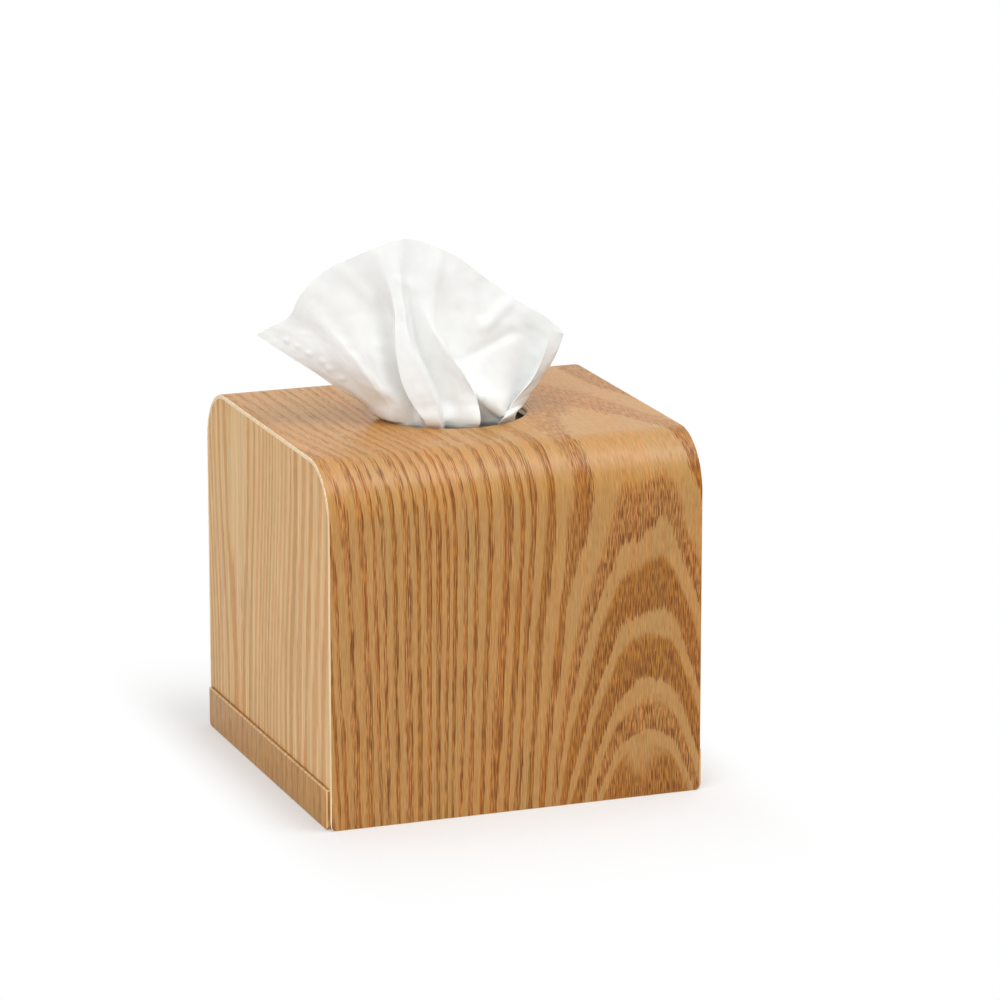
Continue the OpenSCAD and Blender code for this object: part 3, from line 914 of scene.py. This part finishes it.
# The fold lines, from the wing's lower edge round to the right-hand edge: how sharp the fold is, its
# place in the hole in millimetres, and its points up to the free edge. Those are pixels of the
# photograph, each with its distance in millimetres behind the middle of the cover.
fold_lines = [
    (0.0, (-29.2, -3.0),
     [(364, 405, -4), (335, 386, -4), (306, 367, -3), (281, 351, -1), (256.5, 335, 2)]),
    (0.2, (-28.6, -6.4),
     [(368, 406, -7), (344, 387, -6), (318, 364, -5), (296, 345, -2.5), (271, 327, 1)]),
    (0.4, (-27.5, -10.1),
     [(376, 406, -10), (356, 383, -8.5), (336, 360, -7), (315, 337, -3.5), (289, 317, 0)]),
    (0.9, (-26.4, -12.8),
     [(388, 404, -14), (375, 388, -13), (356, 361, -10), (331, 331, -5.5), (298, 299, -1)]),
    (0.2, (-23.6, -16.5),
     [(398, 403, -16), (386, 384, -13), (371, 358, -9.5), (356, 328, -5), (322, 273, 0.5)]),
    (0.0, (-19.6, -17.5),
     [(417, 402, -15), (406, 382, -10.5), (399, 356, -7), (393, 322, -3), (354, 257, 1.5)]),
    (1.0, (-17.4, -23.5),
     [(413, 405, -22), (402.5, 383, -18), (395.5, 348, -13), (393.5, 305, -7), (376, 248, 1)]),
    (0.9, (-13.1, -26.1),
     [(436, 403, -25), (426, 378, -21), (411.5, 347, -15), (404, 307, -8), (393, 241.5, 1)]),
    (0.1, (-9.6, -21.5),
     [(444, 402, -17), (434, 377, -12), (419, 346, -7.5), (410, 310, -3.5), (405, 239, 1)]),
    (0.2, (-4.0, -25.8),
     [(460, 401, -23), (449, 375, -18), (434, 346, -13), (422, 312, -7), (423, 242, 0.5)]),
    (1.0, (1.0, -29.2),
     [(478, 403, -26.5), (466, 378, -22.5), (447, 351, -16.5), (432, 323, -10), (438, 248, -0.5)]),
    (0.2, (2.6, -20.5),
     [(475, 393, -22), (464, 376, -16), (450, 352, -11.5), (440, 320, -7), (452, 254, -0.5)]),
    (0.0, (8.2, -22.0),
     [(489, 402, -24.5), (489, 385, -17.5), (482, 355, -11), (474, 318, -7), (478, 272, -1.5)]),
    (0.0, (12.8, -22.5),
     [(501.5, 411.5, -24), (506, 391, -16.5), (509, 360, -10.5), (511, 328, -6), (515, 299, -1)]),
    (0.2, (17.2, -20.5),
     [(517, 404, -11), (527, 387, -8.5), (540, 369, -6.5), (548, 347, -4.5), (551, 321, -2.5)]),
    (0.8, (19.0, -21.0),
     [(523.5, 403.5, -15), (534, 388, -12), (546, 371, -10), (557, 351, -8), (563.5, 333, -5)]),
    (0.0, (9.8, -27.6),
     [(508, 410, -22), (519, 395, -18.5), (532, 379, -15.5), (543, 356, -12.5), (549, 329, -8)])]
# Soft ridges, hollows and the pressed marks along the wing: both ends and the half width in pixels of
# the photograph, and the height in millimetres.
creases = [
    ((515, 332), (471, 355), 5, 0.9), ((508, 303), (485, 328), 5, -1.0), ((483, 282), (480, 314), 6, 0.8),
    ((398, 281), (415, 288), 3, -0.6), ((340, 268), (372, 300), 7, -0.7), ((318, 300), (352, 345), 9, 0.6),
    ((285, 340), (287, 341), 2.5, -0.5), ((296, 346), (298, 347), 2, -0.3),
    ((307, 353), (309, 354), 2.5, -0.5), ((321, 361), (323, 362), 2.5, -0.5),
    ((328, 369), (330, 370), 2.5, -0.4), ((341, 378), (343, 379), 2.5, -0.5),
    ((437, 262), (455, 300), 7, -0.7), ((484, 398), (500, 414), 4.2, -2.6),
    ((530, 330), (536, 352), 4, 0.5)]


ahead = (camera_aim - camera_place).normalized()
rightward = ahead.cross(Vector((0, 0, 1))).normalized()
upright = rightward.cross(ahead)
view = np.array([rightward, upright, ahead])
pixels_per_unit = photo_size * camera_lens / camera_sensor


def seen_at(x, y, behind):
    """The point that the photograph shows at a pixel, so far behind the middle of the cover."""
    across, up = (x - photo_size / 2) / pixels_per_unit, (photo_size / 2 - y) / pixels_per_unit
    ray = view.T @ np.array([across, up, 1.0])
    start = np.array(camera_place) / MM
    return start + ray * (behind - start[1]) / ray[1]


def pixels_of(points):
    """The pixels at which the photograph shows these points."""
    turned = (points - np.array(camera_place) / MM) @ view.T
    return photo_size / 2 + turned[..., :2] / turned[..., 2:] * pixels_per_unit * [1, -1]


def smooth_line(points, steps, sharp):
    """Runs smoothly through the points along the first axis, and turns a corner where sharp is 1."""
    gap = np.diff(points, axis=0)
    length = np.linalg.norm(gap, axis=-1, keepdims=True) + 1e-9
    slope = gap / length
    inner = (slope[:-1] * length[1:] + slope[1:] * length[:-1]) / (length[:-1] + length[1:])
    tangent = np.concatenate([slope[:1], inner, slope[-1:]])
    leaving = (tangent[:-1] * (1 - sharp[:-1]) + slope * sharp[:-1]) * length
    arriving = (tangent[1:] * (1 - sharp[1:]) + slope * sharp[1:]) * length
    made = []
    for t in np.arange(steps) / steps:
        made.append(points[:-1] * (2 * t ** 3 - 3 * t * t + 1) + points[1:] * (3 * t * t - 2 * t ** 3)
                    + leaving * (t ** 3 - 2 * t * t + t) + arriving * (t ** 3 - t * t))
    made = np.stack(made, 1).reshape(-1, *points.shape[1:])
    return np.concatenate([made, points[-1:]])


steps_between, tail_rows, steps_up = 10, 26, 15
wing_folds, rim_reach, rim_rise, hole_depth = 4, 29, 1.3, 6
wing_bulge, rim_bulge, inner_bulge = 3.0, 1.5, 0.3
least_pleat, pleat_wander, edge_unevenness = 0.45, 0.9, 3.6
soft_from, soft_over, tail_sharpness = 0.7, 0.3, 0.25
crumpled_from, crumpled_gain = 0.7, 6
number = np.arange(len(fold_lines))
in_hole = np.array([[*place, cover_h] for _, place, _ in fold_lines])
fan = np.array([[seen_at(*point) for point in line] for _, _, line in fold_lines])
# just above the hole the sheet bulges over the rim, most of all under the wing
reach = np.linalg.norm(in_hole[:, :2], axis=1)
bulge = np.where(reach > rim_reach, np.where(number < wing_folds, wing_bulge, rim_bulge), inner_bulge)
over_rim = in_hole * (1 + bulge / reach)[:, None] * [1, 1, 0] + [0, 0, cover_h + rim_rise]
levels = [in_hole[:, None] - [0, 0, hole_depth], in_hole[:, None], over_rim[:, None], fan]
levels = np.concatenate(levels, axis=1)
levels = levels.transpose(1, 0, 2)
fan_rows = smooth_line(levels, steps_up, np.zeros((len(levels), 1, 1)))[steps_up:]
uneven = np.random.default_rng(5)
pleat_depths = pleat_depth * uneven.uniform(least_pleat, 1.0, len(number))
pleat_drift = uneven.uniform(-pleat_wander, pleat_wander, len(number))
pleat_drift = pleat_drift * np.sin(math.pi * number / number[-1])
edge_rise = uneven.uniform(0.0, edge_unevenness, len(number))
tail = []
for z in np.linspace(tail_end, cover_h, tail_rows, endpoint=False):
    opened = soft_step((z - film_top) / (cover_h - film_top))
    below = 1 - np.clip((z - tail_end) / (film_top - tail_end), 0, 1)
    pleats = np.stack([(2 * number / number[-1] - 1) * tail_half_w + pleat_drift,
                       np.where(number % 2 == 0, 1, -1) * pleat_depths, z + edge_rise * below], 1)
    held = in_hole * [1, 1, 0] + [0, 0, z]
    tail.append(pleats * (1 - opened) + held * opened)
rows_of_folds = np.concatenate([tail, fan_rows])
rows = len(rows_of_folds)
height_share = np.clip((np.arange(rows) - tail_rows) / (len(fan_rows) - 1), 0, 1)
# the folds go soft towards the free edge
softened = np.clip((height_share - soft_from) / soft_over, 0, 1)
sharpness = np.array([sharp for sharp, _, _ in fold_lines])[:, None, None] * (1 - softened)[None, :, None]
# the gathered tail is rounder than the fan
sharpness = sharpness * np.clip(np.arange(rows) / tail_rows, tail_sharpness, 1)[None, :, None]
sheet = smooth_line(rows_of_folds.transpose(1, 0, 2), steps_between, sharpness).transpose(1, 0, 2)
columns = sheet.shape[1]

normals = np.cross(np.gradient(sheet, axis=1), np.gradient(sheet, axis=0))
normals /= np.linalg.norm(normals, axis=2, keepdims=True) + 1e-12
shown = pixels_of(sheet)
raised = np.zeros((rows, columns))
for start, end, half_width, height in creases:
    start, run = np.array(start, float), np.array(end, float) - start
    share = np.clip(((shown - start) @ run) / (run @ run), 0, 1)
    off = np.linalg.norm(shown - start - share[..., None] * run, axis=2)
    raised += height * np.exp(-(off / half_width) ** 2)
for r in range(rows):
    for c in range(columns):
        u, v = c / columns, height_share[r]
        crumple = noise.noise(Vector((u * 22, v * 6, 1.7))) * 0.35
        crumple += noise.noise(Vector((u * 60, v * 18, 4.1))) * 0.10
        raised[r, c] += crumple + abs(noise.noise(Vector((u * 15 + v * 4, v * 9 - u * 6, 8.3)))) * 0.35
raised *= np.clip(height_share * crumpled_gain - crumpled_from, 0, 1)[:, None]
sheet -= normals * raised[..., None]

quads = grid_quads(rows, columns)[1]
tissue_mesh = mesh_of("tissue_sheet", sheet.reshape(-1, 3), quads)
tissue_uv = tissue_mesh.uv_layers.new(name="sheet")
corner = np.array([loop.vertex_index for loop in tissue_mesh.loops])
uv = np.stack([corner % columns / (columns - 1), corner // columns / (rows - 1)], 1)
tissue_uv.data.foreach_set("uv", uv.ravel())

tissue_paper, tissue_tree, tissue_shader = principled("tissue_paper", Roughness=0.85, Specular_IOR_Level=0.25)
cloudy = ramp(speckle(tissue_tree, 160.0, 3.0), 0.3, 0.7)
feed(tissue_shader, Base_Color=blended(cloudy, (0.83, 0.84, 0.83, 1), (0.865, 0.875, 0.86, 1)),
     Normal=bumped(speckle(tissue_tree, 1500.0, 3.0), 0.3, 0.04))
put_on(tissue_mesh, tissue_paper)

tissue = new_piece("popped_up_tissue", tissue_mesh)
thicken = tissue.modifiers.new("two plies", "SOLIDIFY")
thicken.thickness = sheet_t * MM
thicken.offset = 0
thicken.use_even_offset = False
finished(tissue)
mark_sharp(tissue.data, 60.0)
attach(tissue, "tissue")
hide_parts("popped_tissue")


# Table, light and camera
# A plain white table under soft studio light, seen from the photograph's angle. None of it belongs
# to the object: the table is only there for the shadow at its foot.
table_half = 3000.0
table_corners = [(x * table_half, y * table_half, 0) for x, y in ((-1, -1), (1, -1), (1, 1), (-1, 1))]
table_mesh = mesh_of("table_top", table_corners, [(0, 1, 2, 3)])
table_white, table_tree, table_shader = principled("table_white", Base_Color=(0.84, 0.84, 0.84, 1),
                                                   Roughness=0.9, Specular_IOR_Level=0.1)
shown_white = out_of(table_tree, "ShaderNodeEmission", {"Color": (1, 1, 1, 1), "Strength": 1.0})


def seen_directly(tree):
    """1 for a ray from the camera, off a shiny surface or through a clear one, else 0."""
    path = node(tree, "ShaderNodeLightPath").outputs
    seen = plus(path["Is Camera Ray"], path["Is Glossy Ray"], clamp=True)
    return plus(seen, path["Is Transmission Ray"], clamp=True)


# the table turns white away from the object, sooner at its sides, and keeps the shadow round its foot
foot_half, side_haste, fade_reach, least_white = 0.075, 3.5, 0.11, 0.30
from_object = object_place(table_tree)
for operation, other in (("ABSOLUTE", (0, 0, 0)), ("SUBTRACT", (foot_half, foot_half, 0)),
                         ("MAXIMUM", (0, 0, 0)), ("MULTIPLY", (side_haste, 1, 1)), ("LENGTH", (0, 0, 0))):
    from_object = vector_of(operation, from_object, other)
share_white = times(seen_directly(table_tree), ramp(from_object, 0.0, fade_reach, least_white, 1.0))
mixed = out_of(table_tree, "ShaderNodeMixShader", {0: share_white, 1: table_shader.outputs[0],
               2: shown_white})
feed(table_tree.nodes["Material Output"], Surface=mixed)
put_on(table_mesh, table_white)
table = new_piece("table_top", table_mesh)

world = bpy.data.worlds.new("studio")
bpy.context.scene.world = world
world.use_nodes = True
world_tree = world.node_tree
background = world_tree.nodes["Background"]
background.inputs["Color"].default_value = (1, 1, 1, 1)
room_light = 0.5
feed(background, Strength=times_plus(seen_directly(world_tree), 1 - room_light, room_light))


def aimed(obj, place, aim):
    """Puts a lamp or the camera at a place, looking at a point."""
    obj.location = place
    obj.rotation_euler = (aim - place).to_track_quat("-Z", "Y").to_euler()


def soft_box(name, place, width, length, power, aim=(0, 0, 0.09)):
    """A flat lamp that looks at the object."""
    lamp = bpy.data.lights.new(name, "AREA")
    lamp.shape = "RECTANGLE"
    lamp.size, lamp.size_y = width, length
    lamp.energy = power
    aimed(new_piece(name, lamp), Vector(place), Vector(aim))


soft_box("overhead_light", (0.3, -0.2, 1.5), 1.4, 1.4, 9.0)
soft_box("bend_light", (0.62, -0.45, 1.4), 0.5, 0.6, 4.5)
soft_box("key_light", (-1.25, -1.2, 1.4), 1.3, 1.3, 14.8)

camera_data = bpy.data.cameras.new("photo_camera")
camera_data.sensor_width = camera_sensor
camera_data.lens = camera_lens
camera = new_piece("photo_camera", camera_data)
aimed(camera, camera_place, camera_aim)
bpy.context.scene.camera = camera
bpy.context.scene.view_settings.view_transform = "Standard"
